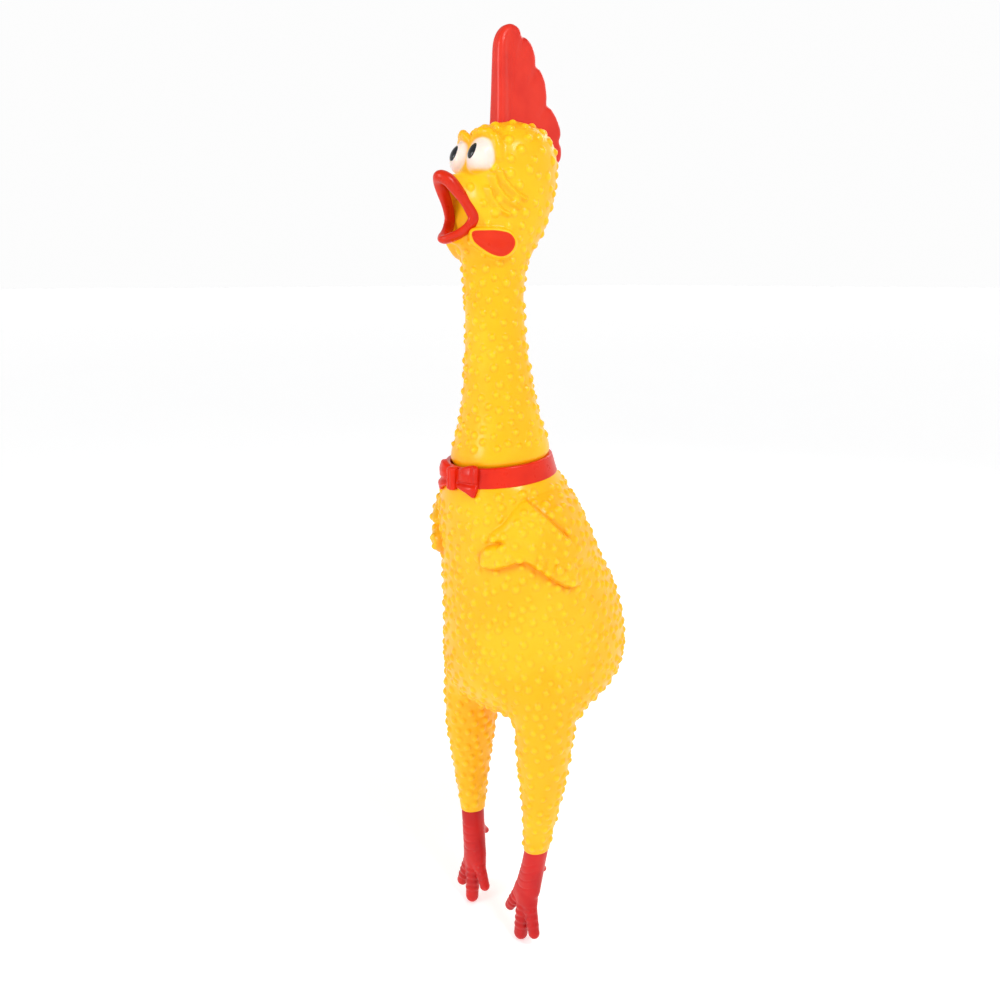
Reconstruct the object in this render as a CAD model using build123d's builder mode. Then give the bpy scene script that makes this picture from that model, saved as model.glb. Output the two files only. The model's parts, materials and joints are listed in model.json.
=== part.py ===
"""Squeaking rubber chicken, 400 mm tall: a hollow soft-vinyl toy with a reed noise maker in its neck.

Frame: +Z up, -Y is the way the beak points, +X is the chicken's left. The origin is on the floor under
the middle of the toy's bounding box, with the toy upright on the tips of its toes. Millimetres.
"""

import os

from build123d import *

os.makedirs("parts", exist_ok=True)

# ---------------------------------------------------------------- driving dimensions
WALL = 1.6                # thickness of the vinyl skin
NECK_Y = -13.95           # the neck's axis, so that the bounding box is centred on the origin
GAP = 0.4                 # clearance between pieces that move past each other

COLLAR_Z = 216.5          # middle of the collar, on the neck's axis
COLLAR_TILT = 6.0         # degrees that the collar leans towards the front
COLLAR_R = 25.4           # outside of the red band
COLLAR_H = 10.6           # height of the red band
SOCKET_R = 20.4           # bore of the collar that the neck plugs into
FIT = 0.08                # radial clearance of the plug in its socket

BELLY_Z = 158.0           # middle of the part of the belly that a thumb presses in
BELLY_RX = 17.0
BELLY_RZ = 24.0

LEG_CUT_Z = 95.5          # torso above, hip bend below
KNEE_CUT_Z = 80.5         # hip bend above, leg below
SHIN_CUT_Z = 51.0         # leg above, ankle bend below
ANKLE_Z = 46.5            # ankle bend above, red foot below

SWAY_LOW_Z, SWAY_HIGH_Z = 250.0, 262.0    # lower bend of the neck
NOD_LOW_Z, NOD_HIGH_Z = 284.0, 297.0      # upper bend of the neck

SIDES = (("left", 1), ("right", -1))

# Level sections: height on the neck's axis, tilt in degrees, y from the neck's axis, x and y radius.
TORSO = (
    (211.2, COLLAR_TILT, 0.0, 24.6, 24.6),
    (204.5, 4.0, 3.0, 29.4, 29.2),
    (196.0, 2.0, 6.5, 32.8, 32.4),
    (180.0, 0.0, 12.8, 35.8, 36.4),
    (162.0, 0.0, 17.0, 37.2, 40.4),
    (144.0, 0.0, 18.6, 38.6, 41.8),
    (128.0, 0.0, 17.4, 39.3, 39.4),
    (114.0, 0.0, 13.6, 36.8, 31.2),
    (104.0, 0.0, 9.0, 28.0, 18.6),
    (99.0, 0.0, 8.0, 14.0, 9.0),
)
NECK_BASE = (
    (222.1, COLLAR_TILT, 0.0, 21.6, 21.6),
    (226.5, 5.0, 0.2, 21.1, 20.8),
    (238.0, 2.0, 0.0, 18.5, 17.4),
    (SWAY_LOW_Z, 0.0, -0.8, 16.4, 15.4),
)
NECK_MID = (
    (SWAY_HIGH_Z, 0.0, -1.7, 14.9, 13.8),
    (272.0, 0.0, -2.4, 14.0, 12.8),
    (NOD_LOW_Z, 0.0, -3.1, 13.3, 12.3),
)
HEAD = (
    (NOD_HIGH_Z, 0.0, -3.7, 12.8, 12.7),
    (305.0, 0.0, -3.8, 12.9, 13.8),
    (312.0, 0.0, -3.0, 13.6, 15.6),
    (321.0, 0.0, 0.0, 15.6, 17.0),
    (330.0, 0.0, 2.4, 17.8, 19.3),
    (339.0, 0.0, 3.7, 19.3, 21.4),
    (348.0, 0.0, 4.2, 20.0, 22.2),
    (356.0, 0.0, 4.3, 18.8, 20.8),
    (362.0, 0.0, 4.1, 15.0, 17.2),
    (366.0, 0.0, 3.9, 8.5, 10.5),
)
# Leg sections: height, x and y from the neck's axis, x and y radius.
THIGH = (
    (118.0, 26.0, 5.0, 12.5, 15.0),
    (106.0, 26.8, 4.2, 12.0, 13.8),
    (LEG_CUT_Z, 27.0, 3.6, 11.2, 12.4),
)
HIP_BEND = (THIGH[-1], (KNEE_CUT_Z, 26.8, 3.2, 9.4, 10.6))
SHIN = (HIP_BEND[-1], (66.0, 26.0, 2.8, 7.6, 8.5), (SHIN_CUT_Z, 24.7, 2.2, 5.7, 6.3))
ANKLE_BEND = (SHIN[-1], (ANKLE_Z, 24.2, 2.0, 5.3, 5.8))

COLLAR = Plane(
    origin=(0, NECK_Y, COLLAR_Z),
    x_dir=(1, 0, 0),
    z_dir=Vector(0, 0, 1).rotate(Axis.X, COLLAR_TILT),
)


# ---------------------------------------------------------------- helpers
def save(part, name):
    """Labels a finished piece and writes its STEP file."""
    part.label = name
    export_step(part, f"parts/{name}.step")


def level_loft(sections, inset=0.0):
    """Solid lofted through ellipses round the neck's axis, each shrunk by inset."""
    with BuildPart() as solid:
        for z, tilt, y, rx, ry in sections:
            with BuildSketch(Plane((0, NECK_Y, z)).rotated((tilt, 0, 0))):
                with Locations((0, y)):
                    Ellipse(rx - inset, ry - inset)
        loft()
    return solid.part


def leg_loft(sections, side, inset=0.0):
    """Solid lofted through a leg's ellipses on one side of the toy, each shrunk by inset."""
    with BuildPart() as solid:
        for z, x, y, rx, ry in sections:
            with BuildSketch(Plane.XY.offset(z)):
                with Locations((side * x, NECK_Y + y)):
                    Ellipse(rx - inset, ry - inset)
        loft()
    return solid.part


def stretched(sections, low, high):
    """The same sections with the first and last ones repeated past the ends, so that a bore runs clear."""
    first, last = sections[0], sections[-1]
    return ((first[0] + low, *first[1:]), *sections[1:-1], (last[0] + high, *last[1:]))


def spheroid(x, y, z, radius, half_height):
    """Upright spheroid about (x, y from the neck's axis, z)."""
    return Pos(x, NECK_Y + y, z) * scale(Sphere(radius), by=(1, 1, half_height / radius))


def tapered_limb(start, end, start_r, end_r):
    """Round limb from start to end, tapering, with ball ends."""
    a, b = Vector(*start), Vector(*end)
    with BuildPart() as limb:
        with Locations(Plane((a + b) / 2, z_dir=b - a)):
            Cone(start_r, end_r, (b - a).length)
        with Locations(a):
            Sphere(start_r)
        with Locations(b):
            Sphere(end_r)
    return limb.part


def tube(sections, name):
    """A length of the neck: the skin between its outer and inner surface, open at both ends."""
    with BuildPart() as skin:
        add(level_loft(sections))
        add(level_loft(stretched(sections, -0.5, 0.5), WALL), mode=Mode.SUBTRACT)
    save(skin.part, name)


# ---------------------------------------------------------------- torso
torso_outer = level_loft(TORSO)
torso_inner = level_loft(stretched(TORSO, -WALL, WALL), WALL)

with BuildPart() as torso_solid:
    add(torso_outer)
    for _, side in SIDES:
        add(leg_loft(THIGH, side))

with BuildPart() as torso_hollow:
    add(torso_inner)
    for _, side in SIDES:
        add(leg_loft(stretched(THIGH, 0.0, -1.0), side, WALL))
    with BuildSketch(COLLAR.offset(-12)):
        Circle(SOCKET_R)
    extrude(amount=30)

with BuildPart() as belly_column:
    with BuildSketch(Plane((0, NECK_Y, BELLY_Z), x_dir=(1, 0, 0), z_dir=(0, -1, 0))):
        Ellipse(BELLY_RX, BELLY_RZ)
    extrude(amount=60)

SOCKET_LOW, SOCKET_HIGH = -9.0, 4.4       # ends of the collar's tube, from the middle of the collar
with BuildPart() as torso_shell:
    add(torso_solid.part)
    with BuildSketch(COLLAR.offset(SOCKET_LOW)):
        Circle(SOCKET_R + WALL)
    extrude(amount=SOCKET_HIGH - SOCKET_LOW)
    add(torso_hollow.part, mode=Mode.SUBTRACT)
    add(belly_column.part, mode=Mode.SUBTRACT)
save(torso_shell.part, "torso_shell")

with BuildPart() as belly_panel:
    with BuildSketch(Plane((0, NECK_Y, BELLY_Z), x_dir=(1, 0, 0), z_dir=(0, -1, 0))):
        Ellipse(BELLY_RX - GAP, BELLY_RZ - GAP)
    extrude(amount=60)
    add(torso_outer, mode=Mode.INTERSECT)
    add(torso_inner, mode=Mode.SUBTRACT)
save(belly_panel.part, "belly_panel")

tail_lump = spheroid(0.0, 53.4, 124.0, 8.0, 6.6)
with BuildPart() as tail:
    add(tail_lump)
    add(torso_outer, mode=Mode.SUBTRACT)
save(tail.part, "tail")

with BuildPart() as collar_band:
    with BuildSketch(COLLAR.offset(-COLLAR_H / 2)):
        Circle(COLLAR_R)
        Circle(SOCKET_R + WALL, mode=Mode.SUBTRACT)
    extrude(amount=COLLAR_H)
    add(torso_outer, mode=Mode.SUBTRACT)
save(collar_band.part, "collar_band")


# ---------------------------------------------------------------- bow tie
BOW_HALF, BOW_END_TOP, BOW_END_LOW = 17.0, 6.4, -9.6
KNOT_HALF, KNOT_TOP, KNOT_LOW = 3.1, 5.6, -6.4
WAIST_TOP, WAIST_LOW = 4.0, -4.6
with BuildPart() as bow_collar:
    with BuildSketch(Plane(COLLAR.origin, x_dir=COLLAR.x_dir, z_dir=COLLAR.x_dir.cross(COLLAR.z_dir))):
        with BuildLine():
            Polyline(
                (COLLAR_R, 7.0), (COLLAR_R + 2.6, 7.0), (COLLAR_R + 6.0, -10.0), (COLLAR_R, -10.0), close=True
            )
        make_face()
    revolve(axis=Axis(COLLAR.origin, COLLAR.z_dir))
bow_face = Plane(COLLAR.origin, x_dir=(1, 0, 0), z_dir=-COLLAR.y_dir)

with BuildPart() as bow_loops:
    for _, side in SIDES:
        with BuildSketch(bow_face):
            with BuildLine():
                Polyline(
                    (side * KNOT_HALF, WAIST_LOW),
                    (side * KNOT_HALF, WAIST_TOP),
                    (side * (BOW_HALF - 2), BOW_END_TOP),
                    (side * BOW_HALF, BOW_END_TOP - 2),
                    (side * BOW_HALF, BOW_END_LOW + 5),
                    (side * (BOW_HALF - 3), BOW_END_LOW),
                    close=True,
                )
            make_face()
        extrude(amount=40)
    add(bow_collar.part, mode=Mode.INTERSECT)
    add(torso_outer, mode=Mode.SUBTRACT)
save(bow_loops.part, "bow_loops")

with BuildPart() as bow_knot:
    with BuildSketch(bow_face.offset(COLLAR_R + 1.0)):
        with Locations((0, (KNOT_TOP + KNOT_LOW) / 2)):
            RectangleRounded(2 * KNOT_HALF, KNOT_TOP - KNOT_LOW, 1.2)
    extrude(amount=4.8)
    fillet(bow_knot.faces().sort_by(Axis.Y)[0].edges(), 1.0)
    add(bow_loops.part, mode=Mode.SUBTRACT)
    add(collar_band.part, mode=Mode.SUBTRACT)
    add(torso_outer, mode=Mode.SUBTRACT)
save(bow_knot.part, "bow_knot")


# ---------------------------------------------------------------- wings, moulded against the torso's sides
WING_PROUD = 3.2
wing_wrap = level_loft(tuple((z, t, y, rx + WING_PROUD, ry + WING_PROUD) for z, t, y, rx, ry in TORSO))
with BuildPart() as wing:
    with BuildSketch(Plane((0, NECK_Y, 0), x_dir=(0, 1, 0), z_dir=(1, 0, 0))):
        with BuildLine():
            Spline(
                (-4.0, 206.0),
                (7.0, 199.0),
                (22.0, 193.5),
                (32.0, 186.0),
                (37.0, 174.0),
                (35.5, 163.5),
                (26.0, 162.5),
                (14.0, 167.5),
                (2.0, 174.5),
                (-8.0, 180.5),
                (-17.0, 177.5),
                (-21.0, 183.0),
                (-18.0, 192.0),
                (-12.0, 202.0),
                periodic=True,
            )
        make_face()
    extrude(amount=60)
    add(wing_wrap, mode=Mode.INTERSECT)
    add(torso_outer, mode=Mode.SUBTRACT)
save(wing.part, "wing_left")
save(mirror(wing.part, about=Plane.YZ), "wing_right")


# ---------------------------------------------------------------- neck
PLUG_LOW = -10.0                          # lower end of the plug, from the middle of the collar
PLUG_R = SOCKET_R - FIT
PLUG_LIP = 2.4                            # height and depth of the lip that the noise maker rests on
WHISTLE_R = PLUG_R - WALL - 0.05
with BuildPart() as neck_base:
    add(level_loft(NECK_BASE))
    with BuildSketch(COLLAR.offset(PLUG_LOW)):
        Circle(PLUG_R)
    extrude(amount=8.0 - PLUG_LOW)
    add(level_loft(stretched(NECK_BASE, 1.0, 0.5), WALL), mode=Mode.SUBTRACT)
    with BuildSketch(COLLAR.offset(PLUG_LOW + PLUG_LIP)):
        Circle(PLUG_R - WALL)
    extrude(amount=20, mode=Mode.SUBTRACT)
    with BuildSketch(COLLAR.offset(PLUG_LOW - 1)):
        Circle(WHISTLE_R - PLUG_LIP)
    extrude(amount=10, mode=Mode.SUBTRACT)
save(neck_base.part, "neck_base_shell")

tube((NECK_BASE[-1], NECK_MID[0]), "neck_lower_bend")
tube(NECK_MID, "neck_mid_shell")
tube((NECK_MID[-1], HEAD[0]), "neck_upper_bend")


# ---------------------------------------------------------------- head
MUZZLE_BACK = (-3.0, 13.2, 16.0, 327.0)   # y from the neck's axis, x and z radius, height
MUZZLE_FRONT = (-33.5, 6.6, 15.4, 327.5)
LIP_PROUD = 0.5                           # how far the red lips stand off the muzzle
LIP_WALL = 4.2                            # thickness of the lips
LIP_DEPTH = 4.6                           # width of the lips, front to back
MOUTH_CORNER = (-20.4, 325.5)             # y from the neck's axis and height of the lips' middle line
BEAK_TIPS = (-35.0, 346.0, 308.8)         # y and the heights where the two beak lines would meet it


def muzzle(grow):
    """The snout between head and lips, grown by a distance all round."""
    with BuildPart() as solid:
        for y, rx, rz, z in (MUZZLE_BACK, MUZZLE_FRONT):
            with BuildSketch(Plane((0, NECK_Y + y, z), x_dir=(1, 0, 0), z_dir=(0, -1, 0))):
                Ellipse(rx + grow, rz + grow)
        loft()
    return solid.part


def behind_beak_line(shift):
    """Everything behind the open beak's side profile, moved back by shift."""
    tip_y, top_z, low_z = BEAK_TIPS
    with BuildPart() as block:
        with BuildSketch(Plane((0, NECK_Y + shift, 0), x_dir=(0, 1, 0), z_dir=(1, 0, 0))):
            with BuildLine():
                Line((40, 300), (40, 360))
                Line((40, 360), (tip_y, 360))
                Line((tip_y, 360), (tip_y, top_z))
                Spline(
                    (tip_y, top_z), (-25.6, 336.0), MOUTH_CORNER, (-25.4, 317.0), (tip_y, low_z),
                )
                Line((tip_y, low_z), (tip_y, 300))
                Line((tip_y, 300), (40, 300))
            make_face()
        extrude(amount=30, both=True)
    return block.part


mouth = muzzle(LIP_PROUD - LIP_WALL)
with BuildPart() as head_solid:
    add(muzzle(0))
    add(behind_beak_line(LIP_DEPTH / 2), mode=Mode.INTERSECT)
    add(level_loft(HEAD))

with BuildPart() as head_shell:
    add(head_solid.part)
    add(level_loft(stretched(HEAD, -0.5, -WALL), WALL), mode=Mode.SUBTRACT)
    add(mouth, mode=Mode.SUBTRACT)
save(head_shell.part, "head_shell")

with BuildPart() as beak_lips:
    add(muzzle(LIP_PROUD))
    add(behind_beak_line(-LIP_DEPTH / 2), mode=Mode.INTERSECT)
    add(behind_beak_line(LIP_DEPTH / 2), mode=Mode.SUBTRACT)
    add(mouth, mode=Mode.SUBTRACT)
save(beak_lips.part, "beak_lips")

COMB_HALF = 3.9
with BuildPart() as comb:
    with BuildSketch(Plane((0, NECK_Y, 0), x_dir=(0, 1, 0), z_dir=(1, 0, 0))):
        with BuildLine():
            Line((-2.0, 356.0), (-2.0, 394.0))
            ThreePointArc((-2.0, 394.0), (3.0, 400.0), (9.0, 395.5))
            ThreePointArc((9.0, 395.5), (14.6, 393.4), (16.8, 387.0))
            ThreePointArc((16.8, 387.0), (22.2, 384.0), (23.6, 377.4))
            ThreePointArc((23.6, 377.4), (29.0, 373.0), (30.6, 365.6))
            ThreePointArc((30.6, 365.6), (32.4, 357.0), (30.0, 348.6))
            Line((30.0, 348.6), (22.0, 346.0))
            Line((22.0, 346.0), (-2.0, 356.0))
        make_face()
    extrude(amount=COMB_HALF, both=True)
    fillet(comb.faces().filter_by(Axis.X).edges(), 1.5)
    add(head_solid.part, mode=Mode.SUBTRACT)
    add(level_loft(HEAD, WALL), mode=Mode.SUBTRACT)
save(comb.part, "comb")

EYE = (6.5, -13.8, 349.0)
EYE_R, EYE_HALF_H = 6.6, 7.0
PUPIL = (5.0, 350.4)
PUPIL_RX, PUPIL_RZ, PUPIL_PROUD = 2.0, 2.9, 0.3
for name, side in SIDES:
    white = spheroid(side * EYE[0], EYE[1], EYE[2], EYE_R, EYE_HALF_H)
    paint = spheroid(side * EYE[0], EYE[1], EYE[2], EYE_R + PUPIL_PROUD, EYE_HALF_H + PUPIL_PROUD)
    with BuildPart() as eye:
        add(white)
        split(bisect_by=Plane((side * 0.05, 0, 0), z_dir=(side, 0, 0)), keep=Keep.TOP)
        add(head_solid.part, mode=Mode.SUBTRACT)
    save(eye.part, f"eye_{name}")
    with BuildPart() as pupil:
        with BuildSketch(Plane((side * PUPIL[0], NECK_Y, PUPIL[1]), x_dir=(1, 0, 0), z_dir=(0, -1, 0))):
            Ellipse(PUPIL_RX, PUPIL_RZ)
        extrude(amount=40)
        add(paint, mode=Mode.INTERSECT)
        add(white, mode=Mode.SUBTRACT)
        add(head_solid.part, mode=Mode.SUBTRACT)
    save(pupil.part, f"pupil_{name}")

WATTLE_MIDDLE = (12.6, -12.6, 312.6)
WATTLE_FACING = (0.86, -0.50, -0.06)
for name, side in SIDES:
    facing = Vector(side * WATTLE_FACING[0], WATTLE_FACING[1], WATTLE_FACING[2])
    backwards = Vector(0, 1, 0) - facing * facing.Y / facing.length**2
    wattle_plane = Plane(
        (side * WATTLE_MIDDLE[0], NECK_Y + WATTLE_MIDDLE[1], WATTLE_MIDDLE[2]), x_dir=backwards, z_dir=facing
    )
    with BuildPart() as wattle:
        with BuildSketch(wattle_plane.offset(-8)):
            with BuildLine():
                Spline(
                    (-10.5, side * 3.4), (0.5, side * 5.6), (8.2, side * 1.0),
                    (4.0, side * -6.6), (-6.0, side * -3.0),
                    periodic=True,
                )
            make_face()
        extrude(amount=10.0)
        fillet(wattle.faces().sort_by(Axis(wattle_plane.origin, wattle_plane.z_dir))[-1].edges(), 1.2)
        add(head_solid.part, mode=Mode.SUBTRACT)
        add(level_loft(HEAD, WALL), mode=Mode.SUBTRACT)
        add(beak_lips.part, mode=Mode.SUBTRACT)
        add(mouth, mode=Mode.SUBTRACT)
    save(wattle.part, f"wattle_{name}")


# ---------------------------------------------------------------- noise maker, pushed into the neck's plug
FLANGE_LOW = PLUG_LOW + PLUG_LIP + 0.05
FLANGE_H = 2.4
PIPE_R, PIPE_WALL, PIPE_H = 7.2, 1.3, 17.0
RING_H = 3.0
CLAMP_H = 3.5
with BuildPart() as whistle_body:
    with BuildSketch(COLLAR.offset(FLANGE_LOW)):
        Circle(WHISTLE_R)
    extrude(amount=FLANGE_H)
    with BuildSketch(COLLAR.offset(FLANGE_LOW)):
        Circle(PIPE_R)
    extrude(amount=PIPE_H)
    with BuildSketch(COLLAR.offset(FLANGE_LOW)):
        Circle(PIPE_R - PIPE_WALL)
    extrude(amount=PIPE_H, mode=Mode.SUBTRACT)
save(whistle_body.part, "whistle_body")

with BuildPart() as whistle_ring:
    with BuildSketch(COLLAR.offset(FLANGE_LOW + FLANGE_H)):
        Circle(WHISTLE_R)
        Circle(WHISTLE_R - 3.0, mode=Mode.SUBTRACT)
    extrude(amount=RING_H)
save(whistle_ring.part, "whistle_ring")

BED_R = PIPE_R - PIPE_WALL
BED_LENGTH = 19.0
CHANNEL = (4.4, 2.6)                      # width and depth of the air channel along the bed
REED = (6.0, 0.3, 17.0)                   # width, thickness and length
REED_GAP = 0.5
with BuildPart() as reed_bed:
    with BuildSketch(COLLAR.offset(FLANGE_LOW)):
        Circle(BED_R)
        with Locations((0, -BED_R)):
            Rectangle(4 * BED_R, 2 * BED_R, mode=Mode.SUBTRACT)
        with Locations((0, CHANNEL[1] / 2)):
            Rectangle(*CHANNEL, mode=Mode.SUBTRACT)
    extrude(amount=BED_LENGTH)
    with BuildSketch(COLLAR.offset(FLANGE_LOW + BED_LENGTH - 2.0)):
        with Locations((0, CHANNEL[1] / 2)):
            Rectangle(*CHANNEL)
    extrude(amount=2.0)
save(reed_bed.part, "reed_bed")

with BuildPart() as reed:
    with BuildSketch(COLLAR.offset(FLANGE_LOW + 0.5)):
        with Locations((0, -REED_GAP - REED[1] / 2)):
            Rectangle(REED[0], REED[1])
    extrude(amount=REED[2])
save(reed.part, "reed")

with BuildPart() as reed_clamp:
    with BuildSketch(COLLAR.offset(FLANGE_LOW)):
        Circle(BED_R)
        with Locations((0, BED_R - 2 * REED_GAP - REED[1])):
            Rectangle(4 * BED_R, 2 * BED_R, mode=Mode.SUBTRACT)
    extrude(amount=CLAMP_H)
save(reed_clamp.part, "reed_clamp")


# ---------------------------------------------------------------- legs and feet
# Toes: where each starts and ends (x and y from the neck's axis, z), and its radius at both ends.
TOES = (
    ((23.6, -0.6, 30.0), (28.4, -2.2, 7.2), 3.4, 2.6),
    ((21.4, -0.6, 30.0), (18.8, -3.0, 2.6), 3.6, 2.6),
    ((19.4, -0.6, 30.0), (9.4, -1.6, 12.6), 3.4, 2.5),
)
WEB = ((28.6, 30.0), (15.8, 30.0), (8.8, 19.8), (15.4, 18.4), (17.2, 15.2), (23.4, 14.8), (29.8, 19.4))
WEB_FRONT, WEB_BACK = -3.6, 2.0           # y from the neck's axis
for name, side in SIDES:
    with BuildPart() as hip_bend:
        add(leg_loft(HIP_BEND, side))
        add(leg_loft(stretched(HIP_BEND, 0.5, -0.5), side, WALL), mode=Mode.SUBTRACT)
    save(hip_bend.part, f"hip_bend_{name}")

    with BuildPart() as leg:
        add(leg_loft(SHIN, side))
        add(leg_loft(stretched(SHIN, 0.5, 3.0), side, WALL), mode=Mode.SUBTRACT)
    save(leg.part, f"leg_{name}")

    with BuildPart() as ankle_bend:
        add(leg_loft(ANKLE_BEND, side))
    save(ankle_bend.part, f"ankle_bend_{name}")

    with BuildPart() as foot:
        add(leg_loft((ANKLE_BEND[-1], (38.0, 23.4, 0.8, 5.4, 4.8), (28.0, 22.0, -0.6, 6.6, 3.8)), side))
        with BuildSketch(Plane((0, NECK_Y + WEB_BACK, 0), x_dir=(1, 0, 0), z_dir=(0, -1, 0))):
            with BuildLine():
                Polyline([(side * x, z) for x, z in WEB], close=True)
            make_face()
        extrude(amount=WEB_BACK - WEB_FRONT)
        for start, end, start_r, end_r in TOES:
            limb_start = (side * start[0], NECK_Y + start[1], start[2])
            limb_end = (side * end[0], NECK_Y + end[1], end[2])
            add(tapered_limb(limb_start, limb_end, start_r, end_r))
        add(tapered_limb((side * 22.6, NECK_Y + 2.0, 36.5), (side * 22.0, NECK_Y + 5.4, 31.5), 2.6, 1.8))
    save(foot.part, f"foot_{name}")
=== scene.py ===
"""Rubber chicken: soft bumpy skin, red comb, lips, collar, bow and feet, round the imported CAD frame.

All shapes are in millimetres, with y measured from the neck's axis, +z up and the beak towards -y.
make_piece() turns them into metres in the frame's own axes.
"""

import json
import math

import bpy
import numpy as np
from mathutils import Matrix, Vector
from mathutils.kdtree import KDTree


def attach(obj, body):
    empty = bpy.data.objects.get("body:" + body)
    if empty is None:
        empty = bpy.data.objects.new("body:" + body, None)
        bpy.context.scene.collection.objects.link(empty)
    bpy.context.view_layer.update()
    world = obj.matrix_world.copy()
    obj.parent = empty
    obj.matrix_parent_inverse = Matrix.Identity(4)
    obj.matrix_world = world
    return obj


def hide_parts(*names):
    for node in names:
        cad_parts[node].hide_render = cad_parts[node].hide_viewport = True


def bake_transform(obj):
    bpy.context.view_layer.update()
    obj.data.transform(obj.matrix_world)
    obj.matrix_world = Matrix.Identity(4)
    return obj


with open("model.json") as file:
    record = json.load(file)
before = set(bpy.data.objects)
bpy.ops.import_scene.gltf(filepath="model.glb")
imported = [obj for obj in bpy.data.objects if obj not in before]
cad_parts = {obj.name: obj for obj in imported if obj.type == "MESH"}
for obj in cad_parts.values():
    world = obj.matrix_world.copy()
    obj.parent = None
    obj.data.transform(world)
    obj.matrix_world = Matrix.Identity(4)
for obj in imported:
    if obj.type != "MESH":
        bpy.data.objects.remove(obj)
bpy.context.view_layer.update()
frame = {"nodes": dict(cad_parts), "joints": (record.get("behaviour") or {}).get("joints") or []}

JOINTS = {joint["name"]: joint for joint in frame["joints"]}
AXIS_Y = JOINTS["neck_swivel"]["pos_m"][1] * 1000.0
COLLAR_Z = JOINTS["neck_swivel"]["pos_m"][2] * 1000.0
RNG = np.random.default_rng(7)
SIDES = (("left", 1.0), ("right", -1.0))

LEAN = math.radians(6.0)  # how far the collar's axis leans
TILT = math.tan(LEAN)
RAISED = 3.6  # the collar band shows this far above the swivel's point, along the leaning axis
BODY_LEAN = (176.0, 206.0)  # the heights between which the body's sections start to lean
NECK_LEAN = (250.0, 229.0)  # and between which the neck's sections stop leaning


# ---------------------------------------------------------------- numbers along a line
def hermite(rows, count=700):
    """Smooth columns through rows of (z, value, value, ...): fine z values, and one fine array per column."""
    rows = np.array(sorted(rows, key=lambda row: row[0]), float)
    z = rows[:, 0]
    fine = np.linspace(z[0], z[-1], count)
    i = np.clip(np.searchsorted(z, fine, side="right") - 1, 0, len(z) - 2)
    gap = z[i + 1] - z[i]
    t = (fine - z[i]) / gap
    columns = []
    for value in rows[:, 1:].T:
        slope = np.gradient(value, z)
        columns.append(
            (2 * t**3 - 3 * t**2 + 1) * value[i]
            + (t**3 - 2 * t**2 + t) * gap * slope[i]
            + (3 * t**2 - 2 * t**3) * value[i + 1]
            + (t**3 - t**2) * gap * slope[i + 1]
        )
    return fine, columns


def ramp(value, start, end):
    """0 before start, 1 after end, smooth between; end may be below start."""
    t = np.clip((value - start) / (end - start), 0.0, 1.0)
    return t * t * (3.0 - 2.0 * t)


def smooth_union(a, b, k):
    h = np.clip(0.5 + 0.5 * (b - a) / k, 0.0, 1.0)
    return b * (1.0 - h) + a * h - k * h * (1.0 - h)


def ridge(distance, width):
    return np.exp(-((distance / width) ** 2))


# ---------------------------------------------------------------- distance fields
def section_columns(rows):
    """Fine levels, and at each the section's middle x, middle y, width over depth and squared half depth."""
    z, x, y, rx, ry = np.array(rows, float).T
    return hermite(np.stack([z, x, y, rx / np.abs(ry), ry * np.abs(ry)], 1))


def section_field(rows):
    """A body through elliptical level sections (z, x, y, half width, half depth).
    A negative half depth lies past the closed end of the body."""
    fine, columns = section_columns(rows)
    slopes = [np.gradient(c, fine) for c in columns]

    def field(px, py, pz):
        cx, cy, k, area = (np.interp(pz, fine, c) for c in columns)
        dcx, dcy, dk, darea = (np.interp(pz, fine, s) for s in slopes)
        ux = px - cx
        uy = py - cy
        value = (ux / k) ** 2 + uy**2 - area
        gx = 2.0 * ux / k**2
        gy = 2.0 * uy
        gz = -gx * dcx - 2.0 * ux**2 * dk / k**3 - gy * dcy - darea
        return value / np.sqrt(gx**2 + gy**2 + gz**2 + 0.5)

    return field


def ellipsoid(px, py, pz, centre, radii):
    qx = (px - centre[0]) / radii[0]
    qy = (py - centre[1]) / radii[1]
    qz = (pz - centre[2]) / radii[2]
    length = np.sqrt(qx**2 + qy**2 + qz**2 + 1e-9)
    slope = np.sqrt((qx / radii[0]) ** 2 + (qy / radii[1]) ** 2 + (qz / radii[2]) ** 2 + 1e-9)
    return (length - 1.0) * length / slope


def capsule(px, py, pz, a, b, ra, rb, flat=1.0):
    """A limb from a to b with radius ra to rb, squeezed by flat along y.
    Also gives how far along it a point is, from 0 to 1."""
    a = np.array(a, float)
    b = np.array(b, float)
    d = b - a
    t = ((px - a[0]) * d[0] + (py - a[1]) * d[1] + (pz - a[2]) * d[2]) / (d @ d)
    t = np.clip(t, 0.0, 1.0)
    qx = px - a[0] - d[0] * t
    qy = (py - a[1] - d[1] * t) / flat
    qz = pz - a[2] - d[2] * t
    return np.sqrt(qx**2 + qy**2 + qz**2 + 1e-9) - (ra + (rb - ra) * t), t


def path_distance(px, py, pz, path, radii):
    """Distance to a path of straight runs, less its radius."""
    best = None
    for a, b, ra, rb in zip(path[:-1], path[1:], radii[:-1], radii[1:]):
        d = capsule(px, py, pz, a, b, ra, rb)[0]
        best = d if best is None else smooth_union(best, d, 0.6)
    return best


def path_gap(u, v, path):
    """Distance in a plane to a path of straight runs."""
    best = None
    for (au, av), (bu, bv) in zip(path[:-1], path[1:]):
        du, dv = bu - au, bv - av
        t = np.clip(((u - au) * du + (v - av) * dv) / (du * du + dv * dv), 0.0, 1.0)
        d = np.hypot(u - au - du * t, v - av - dv * t)
        best = d if best is None else np.minimum(best, d)
    return best


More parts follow.
